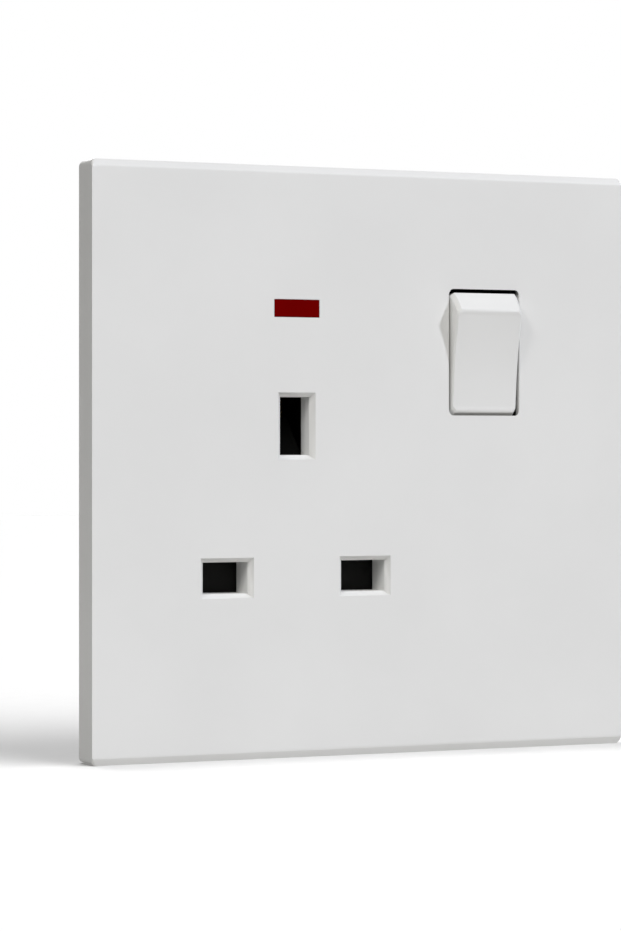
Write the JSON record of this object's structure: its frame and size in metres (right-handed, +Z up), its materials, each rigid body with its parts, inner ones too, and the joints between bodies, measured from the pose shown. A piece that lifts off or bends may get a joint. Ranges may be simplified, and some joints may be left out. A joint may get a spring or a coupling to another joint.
{
  "type": "switched socket outlet",
  "caption": "White flush wall socket for rectangular-pin plugs with a rocker switch, red neon window and shuttered slots, on a square clip-on plate.",
  "frame": {"origin": "centre of the plate on the wall plane, midway between the two fixing holes", "axes": "+X right seen from the front, +Y into the wall, +Z up; the front faces -Y"},
  "size_m": [0.087, 0.0288, 0.087],
  "materials": {
    "white_plastic": "satin moulded white",
    "frame_plastic": "moulded dark grey",
    "housing_plastic": "moulded dark grey",
    "red_lens": "clear dark red",
    "black_plastic": "moulded black",
    "plunger_plastic": "natural nylon",
    "terminal_brass": "turned",
    "contact_brass": "rolled strip",
    "silver_tip": "silver alloy",
    "zinc_steel": "zinc plated",
    "spring_steel": "drawn wire",
    "lamp_glass": "clear",
    "resistor_body": "lacquered",
    "tinned_wire": "tinned copper"
  },
  "bodies": {
    "socket": {"front_plate": "white_plastic", "mounting_frame": "frame_plastic", "rear_housing": "housing_plastic", "neon_lens": "red_lens", "housing_screws": "zinc_steel", "terminal_screws": "zinc_steel", "neutral_terminal": "terminal_brass", "line_terminal": "terminal_brass", "earth_terminal": "terminal_brass", "neutral_contact": "contact_brass", "line_contact": "contact_brass", "earth_contact": "contact_brass", "fixing_eyelets": "terminal_brass", "earth_strap": "contact_brass", "line_bar": "contact_brass", "fixed_contact": "contact_brass", "contact_fulcrum": "contact_brass", "fixed_rivet": "silver_tip", "shutter_spring": "spring_steel", "neon_lamp": "lamp_glass", "neon_resistor": "resistor_body", "neon_leads": "tinned_wire"},
    "rocker": {"rocker": "white_plastic", "switch_plunger": "plunger_plastic", "plunger_spring": "spring_steel"},
    "seesaw": {"moving_contact": "contact_brass", "moving_rivet": "silver_tip"},
    "shutter": {"shutter": "black_plastic"}
  },
  "joints": [
    {"name": "rocker_tilt", "type": "hinge", "parent": "socket", "child": "rocker", "pos_m": [0.0196, 0.0025, 0.0164], "axis": [1, 0, 0], "range_deg": [-16.2, 0]},
    {"name": "seesaw_tilt", "type": "hinge", "parent": "socket", "child": "seesaw", "pos_m": [0.0196, 0.01213, 0.0164], "axis": [1, 0, 0], "range_deg": [0, 10]},
    {"name": "shutter_slide", "type": "slide", "parent": "socket", "child": "shutter", "axis": [0, 0, -1], "range_m": [0, 0.0058], "stiffness_N_per_m": 60, "springref_m": -0.004, "deforming": ["shutter_spring"]}
  ],
  "couplings": [
    {"joint": "seesaw_tilt", "follows": "rocker_tilt", "ratio": -0.617}
  ]
}
